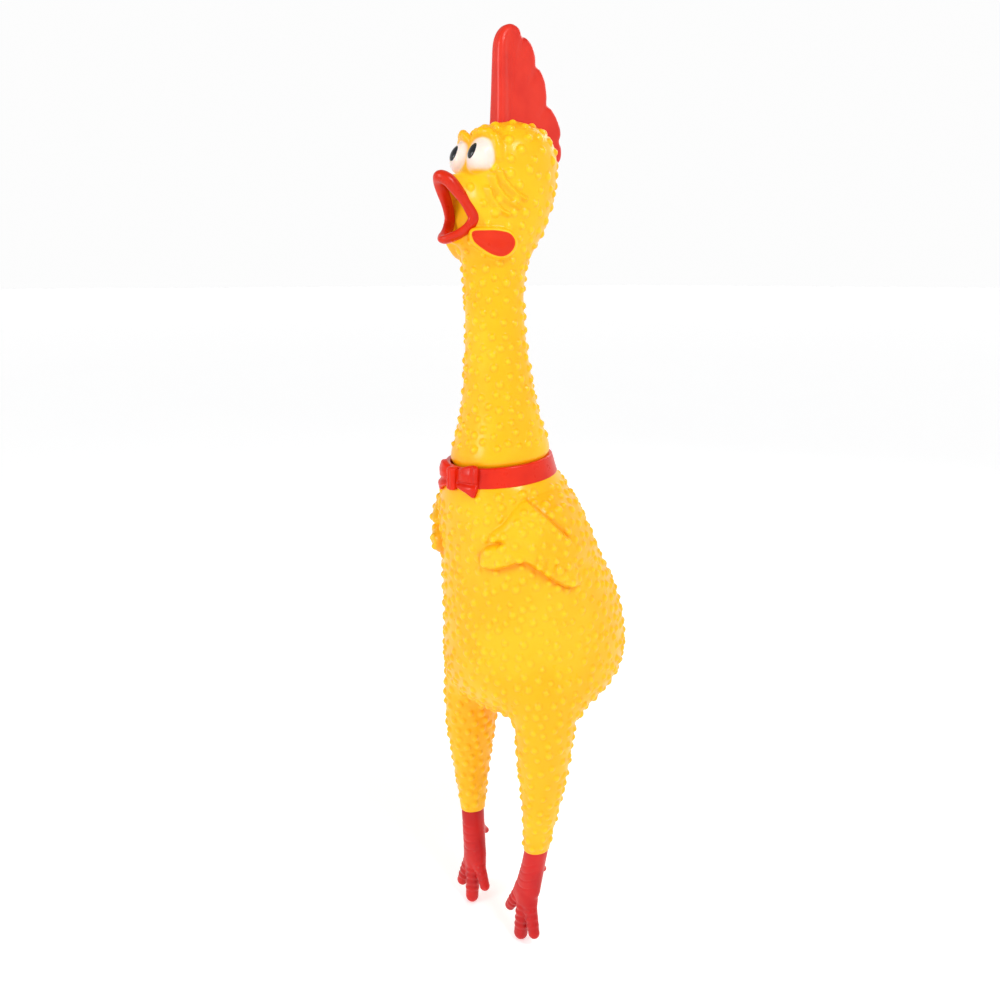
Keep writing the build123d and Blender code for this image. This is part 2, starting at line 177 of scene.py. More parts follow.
def closed_curve(points, per=8):
    """A smooth closed curve through points."""
    p = np.array(points, float)
    before, after, later = np.roll(p, 1, 0), np.roll(p, -1, 0), np.roll(p, -2, 0)
    out = []
    for t in np.arange(per) / per:
        out.append(
            0.5
            * (
                2 * p
                + (after - before) * t
                + (2 * before - 5 * p + 4 * after - later) * t**2
                + (3 * p - before - 3 * after + later) * t**3
            )
        )
    return np.stack(out, 1).reshape(-1, p.shape[1])


def outline_distance(points, step=0.25, margin=9.0):
    """f(u, v): distance to a smooth closed outline, negative inside it."""
    p = closed_curve(points)
    low = p.min(0) - margin
    count = np.ceil((p.max(0) + margin - low) / step).astype(int) + 1
    u = low[0] + np.arange(count[0])[:, None] * step
    v = low[1] + np.arange(count[1])[None, :] * step
    best = np.full(count, 1e9)
    inside = np.zeros(count, bool)
    for a, b in zip(p, np.roll(p, -1, 0)):
        d = b - a
        t = np.clip(((u - a[0]) * d[0] + (v - a[1]) * d[1]) / max(d @ d, 1e-12), 0.0, 1.0)
        best = np.minimum(best, (u - a[0] - d[0] * t) ** 2 + (v - a[1] - d[1] * t) ** 2)
        if a[1] != b[1]:
            crosses = (a[1] > v) != (b[1] > v)
            inside ^= crosses & (u < a[0] + (v - a[1]) * d[0] / d[1])
    grid = np.where(inside, -1.0, 1.0) * np.sqrt(best)

    def distance(pu, pv):
        fu = np.clip((pu - low[0]) / step, 0.0, count[0] - 1.001)
        fv = np.clip((pv - low[1]) / step, 0.0, count[1] - 1.001)
        i, j = fu.astype(int), fv.astype(int)
        s, t = fu - i, fv - j
        near = grid[i, j] * (1 - s) + grid[i + 1, j] * s
        far = grid[i, j + 1] * (1 - s) + grid[i + 1, j + 1] * s
        return near * (1 - t) + far * t

    return distance


def rounded_slab(across, through, radius):
    """A slab whose outline distance is across and whose face distance is through, with rounded edges."""
    a = across + radius
    b = through + radius
    return np.minimum(np.maximum(a, b), 0.0) + np.hypot(np.maximum(a, 0.0), np.maximum(b, 0.0)) - radius


# ---------------------------------------------------------------- surfaces
EDGES = [(a, a | bit) for a in range(8) for bit in (1, 2, 4) if not a & bit]


def mesh_from_field(field, low, high, step, settle=2):
    """Quads on the zero surface of field between two corners, by surface nets.
    The points are then evened out and moved onto the surface, settle times."""
    low = np.array(low, float)
    axes = [low[i] + step * np.arange(int(round((high[i] - low[i]) / step)) + 1) for i in range(3)]
    shape = tuple(len(a) for a in axes)
    values = np.broadcast_to(
        field(axes[0][:, None, None], axes[1][None, :, None], axes[2][None, None, :]), shape
    ).astype(np.float32)
    inside = values < 0.0
    cells = tuple(s - 1 for s in shape)
    corners = [(c & 1, c >> 1 & 1, c >> 2 & 1) for c in range(8)]
    count = np.zeros(cells, np.uint8)
    for i, j, k in corners:
        count += inside[i : i + cells[0], j : j + cells[1], k : k + cells[2]]
    at = np.argwhere((count > 0) & (count < 8))
    index = np.full(cells, -1, np.int32)
    index[tuple(at.T)] = np.arange(len(at))
    v = [values[at[:, 0] + i, at[:, 1] + j, at[:, 2] + k] for i, j, k in corners]
    total = np.zeros((len(at), 3))
    hits = np.zeros(len(at))
    for a, b in EDGES:
        crossing = (v[a] < 0) != (v[b] < 0)
        t = np.where(crossing, v[a] / np.where(crossing, v[a] - v[b], 1.0), 0.0)
        start, end = np.array(corners[a], float), np.array(corners[b], float)
        total += np.where(crossing[:, None], start + t[:, None] * (end - start), 0.0)
        hits += crossing
    verts = low + (at + total / hits[:, None]) * step
    faces = []
    for d in range(3):
        e, f = (d + 1) % 3, (d + 2) % 3
        head = [slice(None)] * 3
        tail = [slice(None)] * 3
        head[d] = slice(0, -1)
        tail[d] = slice(1, None)
        first, second = inside[tuple(head)], inside[tuple(tail)]
        p = np.argwhere(first != second)
        p = p[(p[:, e] > 0) & (p[:, f] > 0) & (p[:, e] < cells[e]) & (p[:, f] < cells[f])]
        de, df = np.eye(3, dtype=int)[e], np.eye(3, dtype=int)[f]
        ring = np.stack([index[tuple((p - o).T)] for o in (de + df, df, 0 * df, de)], 1)
        flip = ~first[tuple(p.T)]
        ring[flip] = ring[flip][:, ::-1]
        faces.append(ring)
    faces = np.concatenate(faces)
    faces = faces[(faces >= 0).all(1)]
    pairs = np.concatenate([faces[:, [i, (i + 1) % 4]] for i in range(4)])
    for _ in range(settle):
        normal = vertex_normals(verts, faces)
        mean = np.stack(
            [
                np.bincount(pairs[:, 0], verts[pairs[:, 1], i], len(verts))
                + np.bincount(pairs[:, 1], verts[pairs[:, 0], i], len(verts))
                for i in range(3)
            ],
            1,
        )
        degree = sum(np.bincount(pairs[:, end], minlength=len(verts)) for end in (0, 1))
        move = mean / np.maximum(degree, 1)[:, None] - verts
        move[degree == 0] = 0.0
        verts = verts + 0.5 * (move - (move * normal).sum(1, keepdims=True) * normal)
        verts = onto_surface(field, verts, step)
    return verts, faces


def onto_surface(field, verts, step):
    h = 0.05
    x, y, z = verts.T
    here = field(x, y, z)
    slope = np.stack([field(x + h, y, z), field(x, y + h, z), field(x, y, z + h)], 1) - here[:, None]
    slope /= h
    move = -here[:, None] * slope / np.maximum((slope**2).sum(1, keepdims=True), 0.05)
    length = np.linalg.norm(move, axis=1, keepdims=True)
    return verts + move * np.minimum(1.0, 0.6 * step / np.maximum(length, 1e-9))


def vertex_normals(verts, faces):
    across = verts[faces[:, 2]] - verts[faces[:, 0]]
    other = verts[faces[:, 3]] - verts[faces[:, 1]]
    face = np.cross(across, other)
    normal = np.zeros_like(verts)
    for i in range(3):
        for corner in range(4):
            normal[:, i] += np.bincount(faces[:, corner], face[:, i], len(verts))
    return normal / np.maximum(np.linalg.norm(normal, axis=1, keepdims=True), 1e-12)


# How far one bump differs from the next
GAP_SPREAD = (0.92, 1.12)
RADIUS_SPREAD = (0.8, 1.16)
HEIGHT_SPREAD = (0.85, 1.12)
DOME_POWER = 0.75  # 0.5 is a half ellipse; more makes its foot softer


class Skin:
    """A whole surface with its bumps, paint, painted shade and painted highlight, from which pieces are cut
    without a visible seam.
    """

    def __init__(self, verts, faces):
        self.verts = verts
        self.faces = faces
        self.layers = {}

    def add_bumps(self, allowed, radius, height, spacing):
        """Domes on the skin. radius, height and spacing are numbers or one value per vertex."""
        verts = self.verts
        normals = vertex_normals(verts, self.faces)
        tree = KDTree(len(verts))
        for i, co in enumerate(verts.tolist()):
            tree.insert(co, i)
        tree.balance()
        radius = np.broadcast_to(radius, len(verts))
        height = np.broadcast_to(height, len(verts))
        spacing = np.broadcast_to(spacing, len(verts))
        blocked = ~allowed
        dome = np.zeros(len(verts))
        painted_highlight = np.zeros(len(verts))
        for i in RNG.permutation(len(verts)):
            if blocked[i]:
                continue
            gap = spacing[i] * RNG.uniform(*GAP_SPREAD)
            r = radius[i] * RNG.uniform(*RADIUS_SPREAD)
            tall = height[i] * RNG.uniform(*HEIGHT_SPREAD)
            found = tree.find_range(verts[i].tolist(), gap)
            near = np.array([f[1] for f in found])
            far = np.array([f[2] for f in found])
            blocked[near] = True
            near, far = near[far < r], far[far < r]
            t = far / r
            rise = (1.0 - t**2) ** DOME_POWER
            dome[near] = np.maximum(dome[near], tall * rise)
            # painted highlight: each bump is coloured lighter towards its top
            painted_highlight[near] = np.maximum(painted_highlight[near], rise)
        self.verts = verts + normals * dome[:, None]
        self.layers["painted_highlight"] = painted_highlight

    def finish(self):
        self.normals = vertex_normals(self.verts, self.faces)
        self.centres = self.verts[self.faces].mean(1)


MATERIALS = {}


def make_piece(name, verts, faces, material, normals=None, layers=None):
    """A mesh object from millimetre points, in metres in the frame's axes."""
    mesh = bpy.data.meshes.new(name)
    points = (np.asarray(verts, float) + (0.0, AXIS_Y, 0.0)) / 1000.0
    faces = np.asarray(faces)
    mesh.vertices.add(len(points))
    mesh.vertices.foreach_set("co", points.astype(np.float32).ravel())
    size = faces.shape[1]
    mesh.loops.add(faces.size)
    mesh.loops.foreach_set("vertex_index", faces.ravel().astype(np.int32))
    mesh.polygons.add(len(faces))
    mesh.polygons.foreach_set("loop_start", np.arange(0, faces.size, size, dtype=np.int32))
    mesh.update(calc_edges=True)
    mesh.validate()
    mesh.polygons.foreach_set("use_smooth", np.ones(len(mesh.polygons), bool))
    for layer, value in (layers or {}).items():
        attribute = mesh.attributes.new(layer, "FLOAT", "POINT")
        attribute.data.foreach_set("value", np.asarray(value, np.float32))
    if normals is not None and len(normals) == len(mesh.vertices):
        mesh.normals_split_custom_set_from_vertices(normals.tolist())
    obj = bpy.data.objects.new(name, mesh)
    bpy.context.scene.collection.objects.link(obj)
    mesh.materials.append(MATERIALS[material])
    return obj


def cut_piece(skin, keep, name, material):
    """The faces of a skin where keep is true, as a piece of their own."""
    faces = skin.faces[keep]
    used, inverse = np.unique(faces, return_inverse=True)
    layers = {layer: value[used] for layer, value in skin.layers.items()}
    return make_piece(
        name, skin.verts[used], inverse.reshape(faces.shape), material, skin.normals[used], layers
    )


def blend_by(obj, weights=None):
    """Bakes obj's placement into its points; weights, if given, is worked out on its points in millimetres,
    and its result is not used.
    """
    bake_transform(obj)
    if weights is not None:
        co = np.zeros(len(obj.data.vertices) * 3, np.float32)
        obj.data.vertices.foreach_get("co", co)
        co = co.reshape(-1, 3) * 1000.0 - (0.0, AXIS_Y, 0.0)
        weights(co).astype(np.float32)


# ---------------------------------------------------------------- materials
def srgb(r, g, b):
    """A linear colour with alpha, from display values of 0 to 255."""
    linear = [((c / 255.0 + 0.055) / 1.055) ** 2.4 if c > 10 else c / 255.0 / 12.92 for c in (r, g, b)]
    return (*linear, 1.0)


class Nodes:
    """A material's node tree, built a node at a time."""

    def __init__(self, name):
        self.material = bpy.data.materials.new(name)
        self.material.use_nodes = True
        self.tree = self.material.node_tree
        self.shader = self.tree.nodes["Principled BSDF"]
        MATERIALS[name] = self.material

    def add(self, kind, **values):
        node = self.tree.nodes.new(kind)
        for key, value in values.items():
            setattr(node, key, value)
        return node

    def link(self, source, target):
        self.tree.links.new(source, target)

    def set(self, **values):
        for key, value in values.items():
            self.shader.inputs[key.replace("_", " ")].default_value = value

    def attribute(self, name):
        return self.add("ShaderNodeAttribute", attribute_name=name).outputs["Fac"]

    def noise(self, scale, detail):
        place = self.add("ShaderNodeTexCoord").outputs["Object"]
        noise = self.add("ShaderNodeTexNoise")
        noise.inputs["Scale"].default_value = scale
        noise.inputs["Detail"].default_value = detail
        self.link(place, noise.inputs["Vector"])
        return noise.outputs["Fac"]

    def remap(self, value, a, b, low=0.0, high=1.0, smooth=False):
        node = self.add("ShaderNodeMapRange", interpolation_type="SMOOTHSTEP" if smooth else "LINEAR")
        for key, number in zip(("From Min", "From Max", "To Min", "To Max"), (a, b, low, high)):
            node.inputs[key].default_value = number
        self.link(value, node.inputs["Value"])
        return node.outputs["Result"]

    def mix(self, amount, a, b):
        node = self.add("ShaderNodeMix", data_type="RGBA")
        self.link(amount, node.inputs[0])
        for socket, value in ((node.inputs[6], a), (node.inputs[7], b)):
            if isinstance(value, tuple):
                socket.default_value = value
            else:
                self.link(value, socket)
        return node.outputs[2]

    def bump(self, height, distance, strength=1.0, normal=None):
        node = self.add("ShaderNodeBump")
        node.inputs["Strength"].default_value = strength
        node.inputs["Distance"].default_value = distance
        self.link(height, node.inputs["Height"])
        if normal is not None:
            self.link(normal, node.inputs["Normal"])
        return node.outputs["Normal"]


YELLOW = srgb(252, 181, 8)
# painted shade for folds, grooves and the undersides of edges
YELLOW_PAINTED_SHADE = srgb(250, 156, 4)
YELLOW_PALE = srgb(255, 190, 20)
# painted highlight for bump tops and the mouth's inside
YELLOW_PAINTED_HIGHLIGHT = srgb(255, 200, 24)
RED_SKIN = srgb(224, 50, 3)
WHITE_EYE = srgb(238, 223, 213)


def vinyl_finish(m, roughness, subsurface=0.2, reach=0.0018, coat=0.14):
    m.set(
        Roughness=roughness,
        Subsurface_Weight=subsurface,
        Subsurface_Radius=(1.0, 0.42, 0.12),
        Subsurface_Scale=reach,
        Coat_Weight=coat,
        Coat_Roughness=0.16,
        Specular_IOR_Level=0.22,
        IOR=1.48,
    )


def skin_material(name):
    m = Nodes(name)
    cloudy = m.remap(m.noise(38.0, 2.0), 0.38, 0.64, smooth=True)
    base = m.mix(cloudy, YELLOW, YELLOW_PALE)
    # painted shade: deeper yellow in folds, grooves, under the wing's and brow's edges and between the legs
    fold = m.attribute("fold")
    base = m.mix(fold, base, YELLOW_PAINTED_SHADE)
    # painted highlight: lighter yellow on the bump tops and inside the mouth
    tops = m.remap(m.attribute("painted_highlight"), 0.2, 1.0, 0.0, 0.75, smooth=True)
    base = m.mix(tops, base, YELLOW_PAINTED_HIGHLIGHT)
    white = m.attribute("white")
    base = m.mix(white, base, WHITE_EYE)
    red = m.remap(m.attribute("red"), -0.12, 0.12, smooth=True)
    patchy = m.mix(m.remap(m.noise(90.0, 2.0), 0.35, 0.7), RED_SKIN, srgb(212, 38, 2))
    base = m.mix(red, base, patchy)
    m.link(base, m.shader.inputs["Base Color"])
    vinyl_finish(m, 0.36)
    rough = m.remap(m.noise(220.0, 3.0), 0.3, 0.7, 0.27, 0.38)
    m.link(rough, m.shader.inputs["Roughness"])
    fine = m.bump(m.noise(900.0, 4.0), 0.00006, 0.5)
    soft = m.bump(m.noise(140.0, 2.0), 0.0004, 0.35, fine)
    m.link(soft, m.shader.inputs["Normal"])


def coloured_vinyl(name, colour, deep, roughness, subsurface=0.22):
    m = Nodes(name)
    cloudy = m.remap(m.noise(60.0, 3.0), 0.35, 0.68, smooth=True)
    m.link(m.mix(cloudy, colour, deep), m.shader.inputs["Base Color"])
    vinyl_finish(m, roughness, subsurface, 0.0016)
    rough = m.remap(m.noise(260.0, 3.0), 0.3, 0.7, roughness - 0.05, roughness + 0.07)
    m.link(rough, m.shader.inputs["Roughness"])
    fine = m.bump(m.noise(700.0, 4.0), 0.00005, 0.5)
    m.link(m.bump(m.noise(160.0, 2.0), 0.0003, 0.3, fine), m.shader.inputs["Normal"])
    return m


skin_material("yellow_skin")
coloured_vinyl("comb_red", srgb(218, 50, 32), srgb(206, 38, 24), 0.36)
coloured_vinyl("collar_red", srgb(222, 38, 6), srgb(206, 26, 4), 0.3)
coloured_vinyl("lip_red", srgb(212, 42, 8), srgb(198, 30, 6), 0.3)
coloured_vinyl("foot_red", srgb(206, 30, 26), srgb(188, 22, 24), 0.38)
coloured_vinyl("whistle_white", srgb(236, 236, 230), srgb(226, 226, 220), 0.42, 0.1)
coloured_vinyl("reed_clear", srgb(214, 224, 228), srgb(200, 212, 218), 0.2, 0.1)
ink = coloured_vinyl("pupil_black", srgb(34, 36, 40), srgb(20, 21, 24), 0.16, 0.0)
ink.set(Coat_Weight=0.5)

# ---------------------------------------------------------------- the body
TORSO = (
    (233.0, 0.0, 0.0, 22.4, 22.4),
    (220.5, 0.0, 0.0, 22.6, 22.6),
    (218.6, 0.0, 0.0, 23.3, 23.3),
    (216.6, 0.0, 0.1, 24.1, 24.1),
    (215.5, 0.0, 0.2, 24.8, 24.8),
    (213.4, 0.0, 0.7, 26.0, 25.7),
    (209.5, 0.0, 1.8, 27.8, 27.2),
    (200.0, 0.0, 4.6, 32.0, 29.6),
    (189.0, 0.0, 8.2, 34.6, 32.3),
    (180.0, 0.0, 11.4, 35.8, 34.6),
    (170.0, 0.0, 14.8, 36.6, 37.8),
    (161.0, 0.0, 17.4, 37.0, 40.4),
    (152.0, 0.0, 19.2, 37.6, 42.0),
    (143.0, 0.0, 20.2, 38.1, 43.0),
    (133.0, 0.0, 20.2, 38.7, 42.8),
    (125.0, 0.0, 19.2, 38.8, 40.2),
    (118.0, 0.0, 17.0, 37.2, 34.0),
    (112.0, 0.0, 15.0, 33.0, 26.0),
    (107.0, 0.0, 13.6, 25.0, 17.0),
    (103.5, 0.0, 13.0, 12.0, 6.0),
    (100.0, 0.0, 13.0, 20.0, -10.0),
)
LEG = (
    (134.0, 24.0, 8.0, 9.0, -6.0),
    (126.0, 24.8, 6.6, 11.0, 13.0),
    (118.0, 25.6, 5.6, 12.0, 14.6),
    (108.0, 26.5, 4.6, 12.0, 14.2),
    (95.5, 27.0, 3.6, 11.0, 12.4),
    (89.0, 27.0, 3.4, 10.3, 11.9),
    (80.5, 26.8, 3.2, 9.2, 10.6),
    (66.0, 26.0, 2.8, 7.4, 8.4),
    (54.0, 24.9, 2.3, 5.9, 6.7),
    (48.5, 24.4, 2.1, 5.55, 6.2),
    (46.6, 24.2, 2.0, 5.1, 5.7),
    (45.8, 24.2, 2.0, 3.6, 4.2),
    (45.0, 24.2, 2.0, 5.0, -6.0),
)
LEG_END = LEG[0][0]
torso_body = section_field(TORSO)
leg_body = section_field(LEG)
TORSO_LEVEL, (_, TORSO_Y, TORSO_STRETCH, _) = section_columns(TORSO)

# The wing's outline, as (degrees round the body from its front, height), and millimetres per degree
PER_DEGREE = 0.63
WING = (
    (61, 207.0), (53, 203.8), (45, 200.0), (38, 197.4), (33.8, 195.6), (32.8, 193.6), (35, 192.3),
    (38.5, 192.2), (41, 192.3), (38, 191.2), (33.5, 190.9), (28.5, 189.8), (24.6, 187.4), (23, 184.6),
    (24.4, 181.8), (28, 180.2), (33, 180.1), (38.5, 181.0), (44, 182.1), (50, 183.6), (55, 183.7),
    (60.5, 181.3), (68, 177.1), (74, 173.9), (79, 171.9), (85, 171.3), (92, 171.3), (101, 168), (109, 164),
    (114, 162), (119, 164), (123, 170), (126, 178), (128, 187), (130, 198), (131, 207), (122, 211),
    (108, 212), (95, 211.6), (84, 211), (72.6, 210.2), (66, 208.8),
)
WING_CREASE = ((70, 210), (74, 207.6), (77.8, 204), (83, 200.2), (87.2, 196.7), (89.5, 194.2))
WING_FEATHERS = (
    ((61, 182.1), (64, 186.9)), ((66, 179.7), (69.4, 185.1)), ((71, 177.1), (74.6, 182.7)),
    ((76.5, 174.5), (80, 180.1)),
)
wing_outline = outline_distance([(a * PER_DEGREE, z) for a, z in WING])


def round_body(px, py, pz):
    """Degrees round the torso from its front, on the side of x."""
    middle = np.interp(pz, TORSO_LEVEL, TORSO_Y)
    stretch = np.interp(pz, TORSO_LEVEL, TORSO_STRETCH)
    return np.degrees(np.arctan2(np.abs(px) / stretch, -(py - middle)))


def flat_path(u, v, path):
    """Distance on the unrolled body to a path of (degrees, height)."""
    return path_gap(u, v, [(degrees * PER_DEGREE, z) for degrees, z in path])


def near_wing(px, pz):
    return (pz > 155.0) & (pz < 217.0) & (np.abs(px) > 9.0)


def wing_relief(px, py, pz, paint=False):
    """How far the wing stands off the body, or with paint how much painted shade a point gets under the
    wing's lower edge and behind its crease.
    """
    px, py, pz = np.broadcast_arrays(px, py, pz)
    near = near_wing(px, pz)
    out = np.zeros(px.shape)
    u = round_body(px[near], py[near], pz[near]) * PER_DEGREE
    v = pz[near]
    edge = wing_outline(u, v)
    low_fade = ramp(v, 212.0, 203.0)
    back = ramp(u, 58.0, 74.0)
    notch = ramp(u, 53.0, 60.0) * ramp(v, 188.0, 178.0)
    tall = (3.5 - 1.7 * back) * (0.25 + 0.75 * low_fade) * (1.0 - notch)
    reach = 3.2 + 3.0 * ramp(v, 191.0, 207.0)
    depth = np.clip(-edge / reach, 0.0, 1.0)
    rise = tall * np.sqrt(np.maximum(1.0 - (1.0 - depth) ** 2.2, 0.0))
    crease = flat_path(u, v, WING_CREASE)
    front_of_crease = ramp(u - 50.0 + (v - 202.7) * 0.72, 1.6, -1.6)
    swell = 1.3 * ridge(crease, 4.5) * front_of_crease
    dip = ridge(crease, 1.5) * (1 - front_of_crease)
    rise += (swell - dip) * (depth > 0.05)
    for feather in WING_FEATHERS:
        rise -= 0.7 * ridge(flat_path(u, v, feather), 0.75)
    middle = flat_path(u, v, ((39, 192.0), (47, 191.0), (56, 191.4)))
    rise -= 0.8 * ridge(middle, 2.0) * (depth > 0.1)
    if paint:
        # painted shade under the wing's lower edge, and a painted shadow line behind its crease
        shade_under_edge = 0.8 * ridge(np.maximum(edge, 0.0) - 0.4, 1.6) * (edge > -1.2)
        shade_under_edge = shade_under_edge * ramp(v, 191.0, 184.0) * ramp(u, 56.0, 50.0)
        out[near] = np.maximum(shade_under_edge, ridge(crease - 0.6, 1.3) * (1 - front_of_crease) * 0.8)
        return out
    out[near] = rise
    return out


def lean(py, pz, start, end):
    """Height measured square to the leaning collar above end, and plainly below start."""
    return pz - py * TILT * ramp(pz, start, end)


def body_field(px, py, pz):
    height = lean(py, pz, *BODY_LEAN)
    body = torso_body(px, py, height)
    tail = ellipsoid(px, py, pz, (0.0, 55.0, 124.5), (8.6, 8.4, 6.4))
    fold = ellipsoid(px, py, pz, (0.0, 52.2, 119.0), (6.5, 7.2, 4.0))
    body = smooth_union(body, tail, 7.0)
    body = smooth_union(body, fold, 2.5)
    pinch = 0.9 * ridge(pz - 119.8, 1.2) * ridge(px, 7.0) * ramp(py, 44.0, 52.0)
    body = body + pinch - wing_relief(px, py, pz)
    # the legs' distance has to grow above their closed top, or the union swells the shoulders
    legs = leg_body(np.abs(px), py, pz) + np.maximum(pz - LEG_END, 0.0)
    return smooth_union(body, legs, 8.0)


BODY_STEP = 0.66
verts, faces = mesh_from_field(body_field, (-44.2, -32.0, 44.0), (44.2, 66.0, 222.0), BODY_STEP)
body = Skin(verts, faces)
vx, vy, vz = verts.T
edge_of_wing = np.full(len(verts), 9.0)
beside = near_wing(vx, vz)
around = round_body(vx[beside], vy[beside], vz[beside]) * PER_DEGREE
edge_of_wing[beside] = wing_outline(around, vz[beside])
around_all = np.zeros(len(verts))
around_all[beside] = around / PER_DEGREE
crease_gap = np.full(len(verts), 9.0)
crease_gap[beside] = flat_path(around, vz[beside], WING_CREASE)
height = lean(vy, vz, *BODY_LEAN)
allowed = (height < 212.5) & (vz > 49.0) & (crease_gap > 1.2)
allowed &= (np.abs(edge_of_wing + 0.2) > 1.3) | (around_all > 110.0)
allowed &= ~((np.abs(vx) < 13.0) & (vy < -10.0) & (vz > 205.0))
size = 1.72 - 0.15 * ramp(vz, 100.0, 70.0)
body.add_bumps(allowed, size, 1.1 - 0.2 * ramp(vz, 100.0, 60.0), 4.35 - 0.4 * ramp(vz, 105.0, 60.0))
# painted shade under the wing's lower edge, along its crease and between the legs
painted_crotch_shade = ridge(np.abs(vx) - 12.0, 5.0) * ridge(vz - 101.0, 9.0)
body.layers["fold"] = np.clip(wing_relief(vx, vy, vz, paint=True) + 0.45 * painted_crotch_shade, 0.0, 1.0)
body.layers["white"] = np.zeros(len(verts))
body.layers["red"] = np.full(len(verts), -1.0)
body.finish()

cx, cy, cz = body.centres.T
collar_height = lean(cy, cz, *BODY_LEAN) - COLLAR_Z - RAISED
LEG_TOP, CUFF_TOP = 104.0, 55.0
on_leg = (cz < LEG_TOP) & (np.abs(cx) > 13.0) & (np.hypot(np.abs(cx) - 27.0, (cy - 4.5) / 1.15) < 15.5)
on_cuff = on_leg & (cz < CUFF_TOP)
spot = (cz > 155.0) & (cz < 214.0) & (np.abs(cx) > 12.0) & (collar_height < -7.0)
on_wing = np.zeros(len(body.faces), bool)
on_wing[spot] = wing_outline(round_body(cx[spot], cy[spot], cz[spot]) * PER_DEGREE, cz[spot]) < 0.9
on_tail = (np.hypot(cx / 1.2, cz - 122.5) < 8.2) & (cy > 44.0)
kept = collar_height < -1.2
plain = kept & ~on_leg & ~on_wing & ~on_tail

torso = cut_piece(body, plain, "torso_skin", "yellow_skin")
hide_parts("torso_shell", "belly_panel")


def belly_weights(co):
    """1 at the middle of the belly's front, 0 beyond the panel that slides."""
    round_panel = np.hypot(co[:, 0] / 20.0, (co[:, 2] - 158.0) / 27.0)
    return ramp(round_panel, 1.0, 0.35) * ramp(co[:, 1], 4.0, -8.0)


blend_by(torso, belly_weights)
tail = cut_piece(body, kept & on_tail, "tail_skin", "yellow_skin")
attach(tail, "torso")
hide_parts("tail")
for name, side in SIDES:
    mine = cx * side > 0.0
    wing = cut_piece(body, kept & on_wing & mine, f"wing_{name}_skin", "yellow_skin")
    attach(wing, "torso")
    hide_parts(f"wing_{name}")
    leg = cut_piece(body, on_leg & ~on_cuff & mine, f"leg_{name}_skin", "yellow_skin")
    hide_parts(f"leg_{name}", f"hip_bend_{name}")
    blend_by(leg)
    cuff = cut_piece(body, on_cuff & mine, f"ankle_{name}_skin", "yellow_skin")
    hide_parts(f"ankle_bend_{name}")
    blend_by(cuff)

# ---------------------------------------------------------------- the neck and head
NECK_AND_HEAD = (
    (206.0, 0.0, 0.0, 19.9, 19.9),
    (218.4, 0.0, 0.0, 20.0, 20.0),
    (222.8, 0.0, 0.0, 20.1, 20.1),
    (224.2, 0.0, 0.0, 20.9, 20.9),
    (225.4, 0.0, 0.0, 21.4, 21.3),
    (227.9, 0.0, 0.0, 21.3, 21.1),
    (232.2, 0.0, 0.0, 20.2, 19.7),
    (240.0, 0.0, -0.1, 18.2, 17.2),
    (250.0, 0.0, -0.7, 16.2, 15.3),
    (262.0, 0.0, -1.6, 14.6, 13.7),
    (272.0, 0.0, -2.3, 13.6, 12.6),
    (284.0, 0.0, -2.9, 12.9, 12.1),
    (297.0, 0.0, -3.2, 12.5, 12.8),
    (305.0, 0.0, -2.8, 12.9, 14.1),
    (311.0, 0.0, -1.5, 13.7, 16.2),
    (318.0, 0.0, 0.9, 15.6, 18.2),
    (326.0, 0.0, 2.6, 17.4, 19.3),
    (334.0, 0.0, 3.6, 18.5, 20.5),
    (342.0, 0.0, 4.0, 19.0, 20.9),
    (349.0, 0.0, 4.2, 18.7, 20.6),
    (355.0, 0.0, 4.6, 16.4, 18.0),
    (359.4, 0.0, 4.9, 11.8, 12.8),
    (361.6, 0.0, 4.9, 6.0, 6.6),
    (363.8, 0.0, 4.9, 6.0, -6.6),
)
head_body = section_field(NECK_AND_HEAD)

MUZZLE_Z = 326.6
MUZZLE = (
    (-40.0, 4.9, 11.4),
    (-31.5, 5.2, 12.8),
    (-26.0, 6.9, 13.2),
    (-20.0, 8.7, 14.3),
    (-12.0, 11.2, 15.5),
    (-4.0, 11.4, 14.4),
    (4.0, 8.6, 9.6),
    (9.0, 3.0, 3.4),
    (12.0, 0.6, 0.6),
    (40.0, 0.6, 0.6),
)
MUZZLE_ALONG, (MUZZLE_WIDE, MUZZLE_TALL) = hermite(MUZZLE)
BEAK_EDGE = (
    (300.0, -44.0), (309.0, -36.0), (312.8, -30.4), (315.4, -26.6), (319.2, -22.0), (322.4, -19.9),
    (325.6, -20.6), (329.2, -22.5), (332.6, -24.2), (335.6, -26.6), (339.0, -30.2), (344.0, -37.0),
    (352.0, -46.0),
)
BEAK_LEVEL, (BEAK_Y,) = hermite(BEAK_EDGE)
EYE = (6.0, -13.0, 347.6)
EYE_SIZE = (6.1, 6.9, 7.0)
EYE_LEAN = 0.26
BROW = (
    (1.6, -14.4, 354.0), (3.4, -14.8, 355.5), (5.9, -14.2, 356.4), (8.6, -12.6, 356.1), (11.2, -11.2, 354.0),
    (12.7, -11.0, 350.6), (13.5, -11.0, 346.4),
)
BROW_SIZE = (1.2, 1.5, 1.8, 1.9, 1.7, 1.4, 1.0)
CHEEK_FOLDS = (
    ((-14.6, 334.4), (-13.9, 331.2), (-12.4, 328.3), (-10.2, 326.0), (-7.6, 324.6)),
    ((-12.9, 339.2), (-12.2, 335.8), (-10.2, 332.3), (-7.2, 329.3), (-3.8, 327.4)),
    ((-10.9, 341.0), (-9.8, 337.8), (-7.6, 334.9), (-4.6, 332.3), (-1.0, 330.6)),
)
WATTLE_MIDDLE = np.array((12.8, -12.7, 314.0))
WATTLE_OUT = np.array((0.86, -0.50, -0.06))
WATTLE_OUT /= np.linalg.norm(WATTLE_OUT)
WATTLE_BACK = np.cross((0.0, 0.0, 1.0), WATTLE_OUT)
